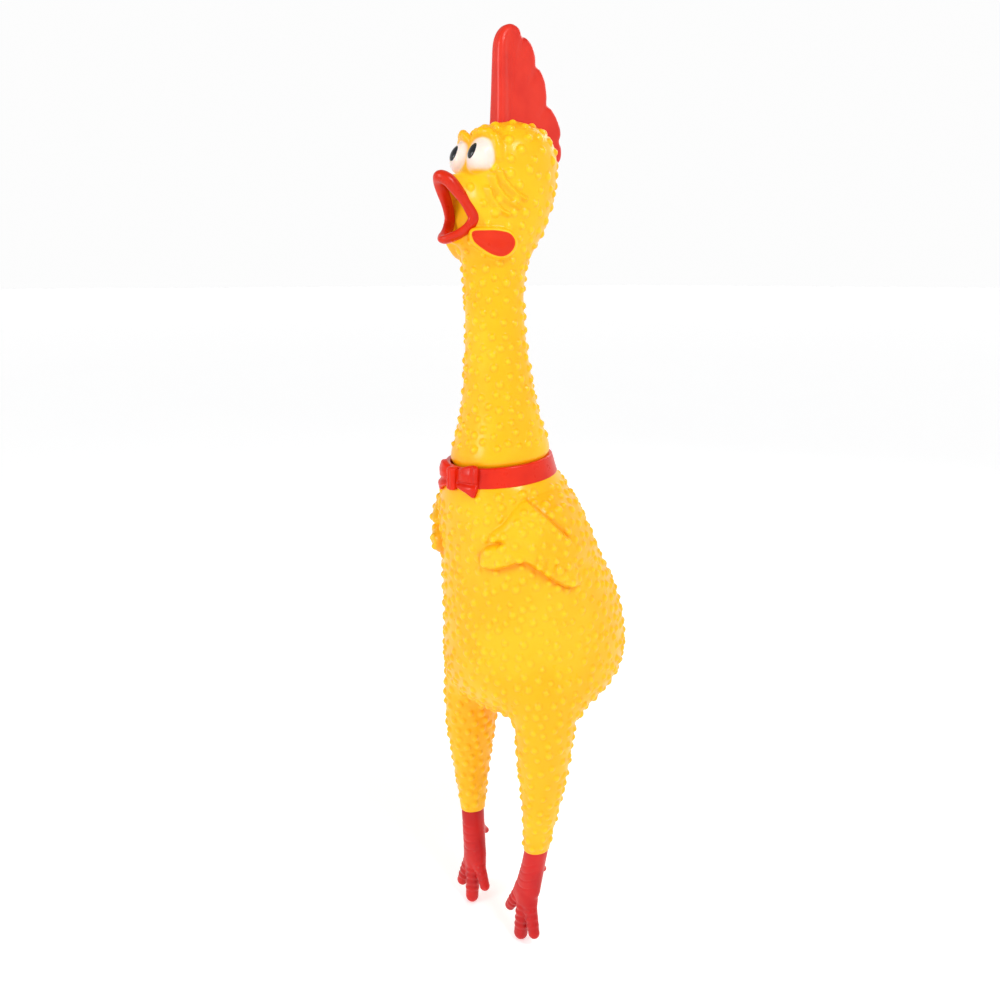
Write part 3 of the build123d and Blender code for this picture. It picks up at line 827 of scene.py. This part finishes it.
WATTLE_BACK /= np.linalg.norm(WATTLE_BACK)
WATTLE_UP = np.cross(WATTLE_OUT, WATTLE_BACK)
WATTLE = (
    (-9.2, 3.9), (-4.0, 4.5), (1.5, 4.4), (6.2, 3.2), (8.3, 0.0), (7.0, -3.7), (3.4, -5.9), (-1.0, -5.2),
    (-5.4, -2.7), (-8.8, 0.3),
)
wattle_outline = outline_distance(WATTLE, 0.15)


def muzzle(px, py, pz, grow=0.0):
    """The beak's tube: a section between a diamond and an ellipse at each y."""
    wide = np.maximum(np.interp(py, MUZZLE_ALONG, MUZZLE_WIDE) + grow, 0.3)
    tall = np.maximum(np.interp(py, MUZZLE_ALONG, MUZZLE_TALL) + grow, 0.3)
    power = 1.7
    qx = np.abs(px) / wide
    qz = np.abs(pz - MUZZLE_Z) / tall
    length = (qx**power + qz**power + 1e-9) ** (1.0 / power)
    return (length - 1.0) * np.minimum(wide, tall * 0.8) + np.maximum(py - 8.0, 0.0)


def eye_distance(px, py, pz):
    """Distance to the eye's bulge, which leans forwards at its foot."""
    return ellipsoid(np.abs(px), py + EYE_LEAN * (EYE[2] - pz), pz, EYE, EYE_SIZE)


def wattle_place(px, py, pz):
    """Coordinates on the wattle of the side of x: backwards, upwards and outwards."""
    d = (np.abs(px) - WATTLE_MIDDLE[0], py - WATTLE_MIDDLE[1], pz - WATTLE_MIDDLE[2])
    return tuple(d[0] * a[0] + d[1] * a[1] + d[2] * a[2] for a in (WATTLE_BACK, WATTLE_UP, WATTLE_OUT))


def head_shape(px, py, pz):
    height = lean(py, pz, *NECK_LEAN)
    skull = head_body(px, py, height)
    solid = smooth_union(skull, muzzle(px, py, pz), 5.0)
    ax = np.abs(px)
    solid = smooth_union(solid, eye_distance(px, py, pz), 1.2)
    brow = path_distance(ax, py, pz, BROW, BROW_SIZE)
    return smooth_union(solid, brow, 2.2)


def head_field(px, py, pz):
    px, py, pz = np.broadcast_arrays(px, py, pz)
    solid = head_shape(px, py, pz)
    ax = np.abs(px)
    face = (pz > 300.0) & (py < 6.0)
    extra = np.zeros(px.shape)
    fx, fy, fz = ax[face], py[face], pz[face]
    for fold in CHEEK_FOLDS:
        extra[face] += 1.3 * ridge(path_gap(fy, fz, fold), 0.8) * ramp(fx, 6.0, 8.0)
    solid = solid - extra
    back, up, out = wattle_place(fx, fy, fz)
    edge = wattle_outline(back, up)
    through = np.abs(out + 3.2) - 4.4 - 0.3 * ridge(edge, 0.7) - 0.5 * ramp(edge, 0.0, -4.0)
    pad = rounded_slab(edge - 0.9, through, 1.0)
    joined = solid.copy()
    joined[face] = smooth_union(solid[face], pad, 1.6)
    edge_line = np.interp(pz, BEAK_LEVEL, BEAK_Y) - py
    shell = np.maximum(joined, np.where(py < -8.0, edge_line, -1.0))
    mouth_floor = py + 17.0 + ((px / 7.0) ** 2 + ((pz - MUZZLE_Z) / 11.0) ** 2)
    hollow = np.maximum(muzzle(px, py, pz, -1.5), mouth_floor)
    return np.maximum(shell, -hollow)


HEAD_STEP = 0.5
verts, faces = mesh_from_field(head_field, (-23.5, -37.0, 213.0), (23.5, 30.5, 366.0), HEAD_STEP)
head = Skin(verts, faces)
vx, vy, vz = verts.T
avx = np.abs(vx)
outside = np.abs(head_shape(vx, vy, vz)) < 2.6
back, up, out = wattle_place(vx, vy, vz)
wattle_edge = np.where(out > -2.5, wattle_outline(back, up), 9.0)
eye_gap = eye_distance(vx, vy, vz)
brow_gap = path_distance(avx, vy, vz, BROW, BROW_SIZE)
edge_gap = vy - np.interp(vz, BEAK_LEVEL, BEAK_Y)
fold_gap = np.min([path_gap(vy, vz, fold) for fold in CHEEK_FOLDS], 0)
under_comb = (avx <= 6.0) & (vz > 340.0) & (vy > -5.0) & ((vz > 356.0) | (vy > 20.0))
inner = (head_shape(vx, vy, vz) < -1.0) & (vz > 297.0) & (wattle_edge > 1.5)
height = lean(vy, vz, *NECK_LEAN)
allowed = outside & ~inner & (height > 231.0)
allowed &= (wattle_edge > 1.9) & (eye_gap > 1.6) & (brow_gap > 1.2) & (fold_gap > 1.9) & ~under_comb
allowed &= (edge_gap > 5.4) & ~((vy < -14.0) & (vz > 336.0))
up_head = ramp(vz, 306.0, 322.0)
head.add_bumps(allowed, 1.62 + 0.2 * up_head, 1.05, 4.4 + 0.6 * up_head)
# painted highlight: the inside of the mouth is coloured like the lit bump tops, though it lies in shade
head.layers["painted_highlight"] = np.where(inner, 1.0, head.layers["painted_highlight"])
# painted shade in the cheek grooves and under the brow, and none inside the mouth
painted_groove_shade = ridge(fold_gap - 1.2, 0.5) * 0.3
painted_shade_under_brow = ridge(np.abs(brow_gap) - 0.2, 0.7) * (eye_gap < 1.6) * 0.3
head.layers["fold"] = np.clip(painted_groove_shade + painted_shade_under_brow - inner, 0.0, 1.0)
white = ramp(eye_gap, 1.15, -0.1) * ramp(vy, -8.2, -10.4) * ramp(brow_gap, 0.1, 0.9)
white *= ramp(vz - 341.3, -0.4, 1.6)
head.layers["white"] = np.where(inner, 0.0, white)
head.layers["red"] = np.where((out > -2.5) & ~inner, -wattle_edge - 0.15, -1.0)
head.finish()

cx, cy, cz = head.centres.T
acx = np.abs(cx)
NECK_CUT, HEAD_CUT = 272.0, 306.0
on_head = cz > HEAD_CUT
inner_face = (head_shape(cx, cy, cz) < -1.6) & (cz > 297.0)
back, up, out = wattle_place(cx, cy, cz)
on_wattle = on_head & (out > -2.0) & (wattle_outline(back, up) < 0.0)
on_eye = on_head & (eye_distance(cx, cy, cz) < 0.35) & (cy < -9.5) & ~inner_face & ~on_wattle
on_eye &= path_distance(acx, cy, cz, BROW, BROW_SIZE) > 0.5
drop = inner_face & ~on_head
skull = cut_piece(head, on_head & ~on_wattle & ~on_eye, "head_skin", "yellow_skin")
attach(skull, "head")
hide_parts("head_shell")
for name, side in SIDES:
    mine = cx * side > 0.0
    for part, where, finish in (("wattle", on_wattle, "red_vinyl"), ("eye", on_eye, "white_paint")):
        piece = cut_piece(head, where & mine, f"{part}_{name}_skin", "yellow_skin")
        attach(piece, "head")
        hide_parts(f"{part}_{name}")
upper = cut_piece(head, ~on_head & (cz > NECK_CUT) & ~drop, "neck_upper_skin", "yellow_skin")
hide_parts("neck_mid_shell", "neck_upper_bend")
blend_by(upper)
lower = cut_piece(head, cz <= NECK_CUT, "neck_lower_skin", "yellow_skin")
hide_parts("neck_base_shell", "neck_lower_bend")
blend_by(lower)


# ---------------------------------------------------------------- pupils
def grid_faces(rows, columns, closed_rows=False):
    """Quads of a grid of points held row by row, each row a closed ring."""
    faces = []
    for i in range(rows if closed_rows else rows - 1):
        for j in range(columns):
            a, b = i * columns, (i + 1) % rows * columns
            k = (j + 1) % columns
            faces.append((a + j, a + k, b + k, b + j))
    return faces


PUPIL = (6.2, 348.9)
PUPIL_SIZE = (2.2, 3.05)


def face_surface(px, pz, field, start=-30.0, end=-8.0, step=0.05):
    """The first y at which a point coming from the front meets field."""
    ys = np.arange(start, end, step)
    values = field(px[:, None], ys[None, :], pz[:, None])
    return ys[np.argmax(values < 0.0, axis=1)]


for name, side in SIDES:
    rings, around = 9, 40
    share = np.concatenate([np.linspace(0.02, 1.0, rings), [1.04]])
    angle = np.arange(around) * 2 * math.pi / around
    px = side * PUPIL[0] + (share[:, None] * np.cos(angle) * PUPIL_SIZE[0]).ravel()
    pz = PUPIL[1] + (share[:, None] * np.sin(angle) * PUPIL_SIZE[1]).ravel()
    ground = face_surface(px, pz, head_shape)
    lift = 0.34 * np.sqrt(np.clip(1.0 - share**2.6, 0.0, 1.0)) + 0.04
    lift[-1] = -0.5
    py = ground - np.repeat(lift, around)
    pupil_verts = np.stack([px, py, pz], 1)
    pupil_faces = np.array(grid_faces(rings + 1, around))
    if side > 0:
        pupil_faces = pupil_faces[:, ::-1]
    cap = [[0, i, i + 1, i + 2] for i in range(1, around - 2, 2)]
    pupil_faces = np.concatenate([pupil_faces, cap])
    pupil = make_piece(f"pupil_{name}_paint", pupil_verts, pupil_faces, "pupil_black")
    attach(pupil, "head")
    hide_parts(f"pupil_{name}")

# ---------------------------------------------------------------- lips
LIP_PATH = (
    (0.0, -29.9, 338.9), (3.0, -28.2, 337.4), (4.8, -25.6, 333.8), (6.2, -22.9, 329.8), (7.4, -20.9, 326.0),
    (8.1, -20.0, 322.8), (6.9, -21.6, 319.6), (4.8, -24.2, 317.2), (2.6, -26.8, 315.6),
)
LIP_SIDES = 28
half = np.array(LIP_PATH)
mirrored = half[:0:-1] * (-1, 1, 1)
loop = np.concatenate([half, [(0.0, -28.2, 314.8)], mirrored])
line = closed_curve(loop, 14)
centre = np.array((0.0, 0.0, MUZZLE_Z - 0.6))
tangent = np.roll(line, -1, 0) - np.roll(line, 1, 0)
tangent /= np.linalg.norm(tangent, axis=1, keepdims=True)
outward = line * (1, 0, 1) - centre
outward -= (outward * tangent).sum(1, keepdims=True) * tangent
outward /= np.linalg.norm(outward, axis=1, keepdims=True)
forward = np.cross(outward, tangent)
forward *= np.where(forward[:, 1:2] > 0, -1.0, 1.0)
around = np.arange(LIP_SIDES) * 2 * math.pi / LIP_SIDES
top = ramp(line[:, 2], 328.0, 336.0)
low = ramp(line[:, 2], 318.0, 315.0)
thick = (1.7 + 0.9 * top + 0.1 * low)[:, None]
deep = (2.2 + 0.4 * top + 0.3 * low)[:, None]
power = 0.82
c, s = np.cos(around), np.sin(around)
cc, ss = np.sign(c) * np.abs(c) ** power, np.sign(s) * np.abs(s) ** power
lip_verts = (
    line[:, None, :]
    + outward[:, None, :] * (thick * cc)[:, :, None]
    + forward[:, None, :] * (deep * ss - 0.5 * cc**2)[:, :, None]
).reshape(-1, 3)
lip_faces = np.array(grid_faces(len(line), LIP_SIDES, closed_rows=True))
lips = make_piece("lips_skin", lip_verts, lip_faces, "lip_red")
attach(lips, "head")
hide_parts("beak_lips")

# ---------------------------------------------------------------- comb
COMB = (
    (-3.2, 356.0), (-3.3, 364.0), (-3.0, 374.0), (-2.8, 384.0), (-2.2, 392.5), (0.4, 397.6), (4.4, 399.7),
    (8.4, 398.6), (10.4, 396.0), (12.6, 395.2), (15.4, 392.6), (17.2, 388.4), (17.9, 385.4), (20.0, 383.4),
    (22.2, 379.4), (23.1, 374.0), (23.5, 370.8), (25.4, 369.2), (27.7, 366.6), (29.3, 364.0), (30.4, 361.4),
    (30.8, 358.4), (30.4, 356.2), (31.0, 353.4), (31.0, 350.0), (29.8, 347.6), (27.6, 347.0), (23.6, 348.0),
    (14.0, 351.0), (4.0, 353.0),
)
COMB_NOTCHES = (
    ((10.6, 397.0), (8.0, 388.0)), ((18.2, 386.0), (13.5, 378.5)), ((24.2, 371.0), (18.5, 366.0)),
    ((30.6, 356.4), (27.2, 355.6)),
)
COMB_STEP = 0.42
comb_outline = outline_distance(COMB, 0.2)


def comb_field(px, py, pz):
    edge = comb_outline(py, pz)
    half_thick = 4.15 - 0.9 * ramp(pz, 352.0, 396.0) + 0.25 * ridge(py + 1.6, 1.8)
    half_thick = half_thick - 0.55 * ridge(py - 2.2, 1.5) * ramp(pz, 400.0, 385.0)
    for a, b in COMB_NOTCHES:
        d = np.array(b, float) - a
        t = np.clip(((py - a[0]) * d[0] + (pz - a[1]) * d[1]) / (d @ d), 0.0, 1.0)
        gap = np.hypot(py - a[0] - d[0] * t, pz - a[1] - d[1] * t)
        half_thick = half_thick - 0.75 * ridge(gap, 1.9) * (1.0 - 0.6 * t)
    return rounded_slab(edge, np.abs(px) - half_thick, 2.7)


verts, faces = mesh_from_field(comb_field, (-6.0, -6.0, 344.0), (6.0, 35.0, 402.4), COMB_STEP)
comb = make_piece("comb_skin", verts, faces, "comb_red", vertex_normals(verts, faces))
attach(comb, "head")
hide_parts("comb")

# ---------------------------------------------------------------- collar and bow
COLLAR_PROFILE = (
    (20.95, -3.6), (20.95, 0.0), (20.95, 2.6), (21.0, 3.6), (21.3, 4.05), (21.9, 4.2), (22.6, 4.2),
    (23.05, 4.05), (23.3, 3.7), (23.45, 3.1), (23.75, 1.6), (24.1, -0.2), (24.45, -1.8), (24.75, -3.2),
    (24.85, -3.7), (24.7, -4.05), (24.3, -4.25), (23.5, -4.3), (22.4, -4.3), (21.3, -4.2),
)
BOW_RADIUS = 25.0  # distances round the collar are measured at this radius


def in_collar(px, py, pz):
    """Height above the band's middle plane, radius from its axis, and millimetres round it from the front."""
    z = pz - COLLAR_Z
    height = z * math.cos(LEAN) - py * math.sin(LEAN) - RAISED
    front = -(py * math.cos(LEAN) + z * math.sin(LEAN))
    return height, np.hypot(px, front), np.arctan2(px, front) * BOW_RADIUS


def from_collar(radius, angle, height):
    """A point from its radius, its angle from the front and its height above the band's middle plane."""
    x = radius * np.sin(angle)
    front = radius * np.cos(angle)
    height = height + RAISED
    y = -front * math.cos(LEAN) - height * math.sin(LEAN)
    z = COLLAR_Z - front * math.sin(LEAN) + height * math.cos(LEAN)
    return np.stack([x, y, z], -1)


steps = 240
turn = np.arange(steps) * 2 * math.pi / steps
profile = closed_curve(COLLAR_PROFILE, 3)
collar_verts = from_collar(profile[:, 0][None, :], turn[:, None], profile[:, 1][None, :]).reshape(-1, 3)
collar_faces = np.array(grid_faces(steps, len(profile), closed_rows=True))
collar = make_piece("collar_skin", collar_verts, collar_faces, "collar_red")
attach(collar, "torso")
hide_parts("collar_band")

BOW = 0.8  # the bow's scale: LOOP and KNOT are drawn larger than life
BOW_STEP = 0.3
LOOP = (
    (0.5, 3.6), (3.5, 4.6), (7.0, 5.9), (11.5, 6.9), (15.0, 7.0), (16.7, 6.1), (17.1, 3.6),
    (16.9, 0.0), (16.7, -3.6), (16.0, -7.2), (14.8, -9.3), (13.2, -9.1), (10.4, -7.0), (7.0, -5.5),
    (3.5, -4.8), (0.5, -4.6),
)
KNOT = (
    (-3.1, 4.6), (-1.8, 5.7), (1.8, 5.7), (3.1, 4.6), (3.3, 0.0), (3.1, -5.2), (1.8, -6.4), (-1.8, -6.4),
    (-3.1, -5.2), (-3.3, 0.0),
)
loop_outline = outline_distance(LOOP, 0.15)
knot_outline = outline_distance(KNOT, 0.15)


def under_bow(height):
    """Radius of the collar and the chest below it."""
    return 24.1 - 0.2 * np.maximum(height, -4.2)


def behind_bow(height, proud):
    """Distance past the bow's back: sunk in the band, but outside it higher up, clear of the neck."""
    return -1.5 + 1.5 * ramp(height, 3.0, 4.8) - proud


def loops_field(px, py, pz):
    height, radius, along = in_collar(px, py, pz)
    proud = (radius - under_bow(height)) / BOW
    height = height / BOW
    s = np.abs(along) / BOW
    edge = loop_outline(s, height)
    puff = 1.5 + 1.5 * ramp(s, 1.0, 10.0) - 0.5 * ramp(s, 13.0, 17.0)
    sag = -2.0 - 0.016 * (s - 9.0) ** 2
    puff = puff - 1.05 * ridge(height - sag, 0.95) * ramp(s, 2.5, 6.0)
    puff = puff - 0.6 * ridge(s - 14.4 - 0.05 * height, 0.7) * ramp(height, -2.5, -0.5)
    puff = puff + 0.5 * ridge(height - 2.6, 2.0) * ramp(s, 3.0, 8.0) + 0.35 * ridge(height + 5.2, 1.8)
    return BOW * np.maximum(rounded_slab(edge, proud - puff, 1.25), behind_bow(height, proud))


def knot_field(px, py, pz):
    height, radius, along = in_collar(px, py, pz)
    proud = (radius - under_bow(height * 0.55)) / BOW
    height = height / BOW
    along = along / BOW
    edge = knot_outline(along, height)
    puff = 4.1 - 0.4 * ridge(along - 0.3, 0.65) * ramp(np.abs(height), 5.5, 3.5) - 0.05 * along**2
    puff = puff - 0.45 * ridge(along + 1.9, 0.5) * ramp(np.abs(height), 5.5, 3.0)
    return BOW * np.maximum(rounded_slab(edge, proud - puff, 1.7), behind_bow(height, proud))


for node, field in (("bow_loops", loops_field), ("bow_knot", knot_field)):
    verts, faces = mesh_from_field(field, (-17.0, -34.0, 203.0), (17.0, -14.0, 227.0), BOW_STEP)
    bow = make_piece(f"{node}_skin", verts, faces, "collar_red", vertex_normals(verts, faces))
    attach(bow, "torso")
    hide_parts(node)

# ---------------------------------------------------------------- feet
TOES = (
    ((19.8, -0.9, 23.0), (18.9, -2.6, 3.35), 3.7, 3.3),
    ((22.2, -0.6, 22.0), (27.7, -2.0, 7.3), 3.5, 2.75),
    ((17.4, -0.6, 24.5), (9.9, -1.6, 12.4), 3.3, 2.55),
)
FOOT_LEG = (
    (53.0, 24.8, 2.2, 4.0, -3.0),
    (51.0, 24.7, 2.2, 4.4, 4.8),
    (46.5, 24.2, 2.0, 5.0, 5.6),
    (41.0, 23.3, 1.6, 5.2, 5.5),
    (35.0, 22.2, 1.1, 5.8, 5.2),
    (29.0, 21.0, 0.6, 6.6, 4.7),
    (24.0, 20.0, 0.1, 7.0, 4.2),
    (20.0, 19.6, -0.2, 5.0, 3.4),
    (17.0, 19.5, -0.4, 4.0, -2.0),
)
FOOT_STEP = 0.36
foot_leg = section_field(FOOT_LEG)


def foot_field(px, py, pz):
    foot = foot_leg(px, py, pz)
    for a, b, ra, rb in TOES:
        limb, t = capsule(px, py, pz, a, b, ra, rb, flat=0.92)
        length = np.linalg.norm(np.array(b) - a)
        scutes = 0.2 * np.cos(t * length / 3.1 * 2 * math.pi) * ramp(t, 0.12, 0.3) * ramp(t, 0.93, 0.8)
        nail = 0.25 * ridge(t * length - length + 1.2, 1.2)
        foot = smooth_union(foot, limb - scutes * ramp(py, 1.5, -1.5) + nail * 0.3, 1.6)
    web = capsule(px, py, pz, (16.2, 0.4, 21.5), (23.2, 0.4, 20.5), 2.6, 2.6, flat=0.8)[0]
    foot = smooth_union(foot, web, 2.0)
    spur, t = capsule(px, py, pz, (22.2, 4.6, 36.5), (21.8, 8.2, 33.2), 2.3, 1.5)
    foot = smooth_union(foot, spur, 1.8)
    for level in (27.5, 31.5, 35.5, 39.0):
        foot = foot + 0.22 * ridge(pz - level - 0.05 * (px - 21.0) ** 2, 0.55) * ramp(py, 0.0, -3.0)
    return foot


verts, faces = mesh_from_field(foot_field, (5.0, -8.0, -1.5), (33.0, 12.0, 54.0), FOOT_STEP)
for name, side in SIDES:
    mine = faces if side > 0 else faces[:, ::-1]
    where = verts * (side, 1.0, 1.0)
    foot = make_piece(f"foot_{name}_skin", where, mine, "foot_red", vertex_normals(where, mine))
    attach(foot, f"{name}_foot")
    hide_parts(f"foot_{name}")

# ---------------------------------------------------------------- the noise maker, as packed
for node in ("whistle_body", "whistle_ring", "reed_bed", "reed_clamp", "reed"):
    cad = frame["nodes"][node]
    cad.data.materials.clear()
    cad.data.materials.append(MATERIALS["reed_clear" if node == "reed" else "whistle_white"])

# ---------------------------------------------------------------- floor, light, camera
floor_material = Nodes("floor_white")
grain = floor_material.remap(floor_material.noise(3.0, 2.0), 0.3, 0.7)
floor_material.link(
    floor_material.mix(grain, (0.86, 0.86, 0.87, 1.0), (0.88, 0.88, 0.88, 1.0)),
    floor_material.shader.inputs["Base Color"],
)
floor_material.set(Roughness=0.32, Emission_Color=(1.0, 1.0, 1.0, 1.0), Emission_Strength=0.43)
bpy.ops.mesh.primitive_plane_add(size=60.0, location=(0.0, 0.0, 0.0))
floor = bpy.context.object
floor.name = "floor"
floor.data.materials.append(MATERIALS["floor_white"])

world = bpy.data.worlds.new("studio")
world.use_nodes = True
world.node_tree.nodes["Background"].inputs["Color"].default_value = (1.0, 1.0, 1.0, 1.0)
# White round the horizon and dimmer overhead, as in a white sweep lit by lamps
direction = world.node_tree.nodes.new("ShaderNodeTexCoord").outputs["Generated"]
height_of_sky = world.node_tree.nodes.new("ShaderNodeSeparateXYZ")
world.node_tree.links.new(direction, height_of_sky.inputs[0])
fade = world.node_tree.nodes.new("ShaderNodeMapRange")
for key, number in zip(("From Min", "From Max", "To Min", "To Max"), (0.3, 0.6, 0.98, 0.3)):
    fade.inputs[key].default_value = number
world.node_tree.links.new(height_of_sky.outputs["Z"], fade.inputs["Value"])
world.node_tree.links.new(fade.outputs["Result"], world.node_tree.nodes["Background"].inputs["Strength"])
bpy.context.scene.world = world

VIEW_TURN = math.radians(52.0)
CAMERA_DISTANCE, CAMERA_HEIGHT = 0.45, 0.30
to_camera = Vector((math.sin(VIEW_TURN), -math.cos(VIEW_TURN), 0.0))
right = Vector((math.cos(VIEW_TURN), math.sin(VIEW_TURN), 0.0))


def area_light(name, place, target, size, power):
    data = bpy.data.lights.new(name, "AREA")
    data.shape = "RECTANGLE"
    data.size, data.size_y = size
    data.energy = power
    lamp = bpy.data.objects.new(name, data)
    lamp.location = place
    lamp.rotation_euler = (Vector(target) - Vector(place)).to_track_quat("-Z", "Y").to_euler()
    bpy.context.scene.collection.objects.link(lamp)


middle = Vector((0.0, 0.0, 0.22))
area_light("key", middle + to_camera * 0.7 + right * 0.45 + Vector((0, 0, 0.8)), middle, (0.3, 0.3), 6.0)
area_light("fill", middle + to_camera * 0.6 - right * 0.9 + Vector((0, 0, 0.45)), middle, (0.3, 0.5), 4.2)
area_light("rim", middle - to_camera * 0.8 + right * 0.5 + Vector((0, 0, 0.6)), middle, (0.5, 0.5), 2.0)

camera_data = bpy.data.cameras.new("camera")
camera_data.sensor_fit = "HORIZONTAL"
camera_data.angle = math.radians(51.0)
camera_data.clip_start = 0.01
camera = bpy.data.objects.new("camera", camera_data)
axis = Vector((0.0, AXIS_Y / 1000.0, 0.0))
camera.location = axis + to_camera * CAMERA_DISTANCE + Vector((0.0, 0.0, CAMERA_HEIGHT))
pitch = math.radians(12.0)
look = -to_camera * math.cos(pitch) - Vector((0.0, 0.0, math.sin(pitch)))
camera.rotation_euler = look.to_track_quat("-Z", "Y").to_euler()
bpy.context.scene.collection.objects.link(camera)
bpy.context.scene.camera = camera
bpy.context.scene.view_settings.view_transform = "Standard"
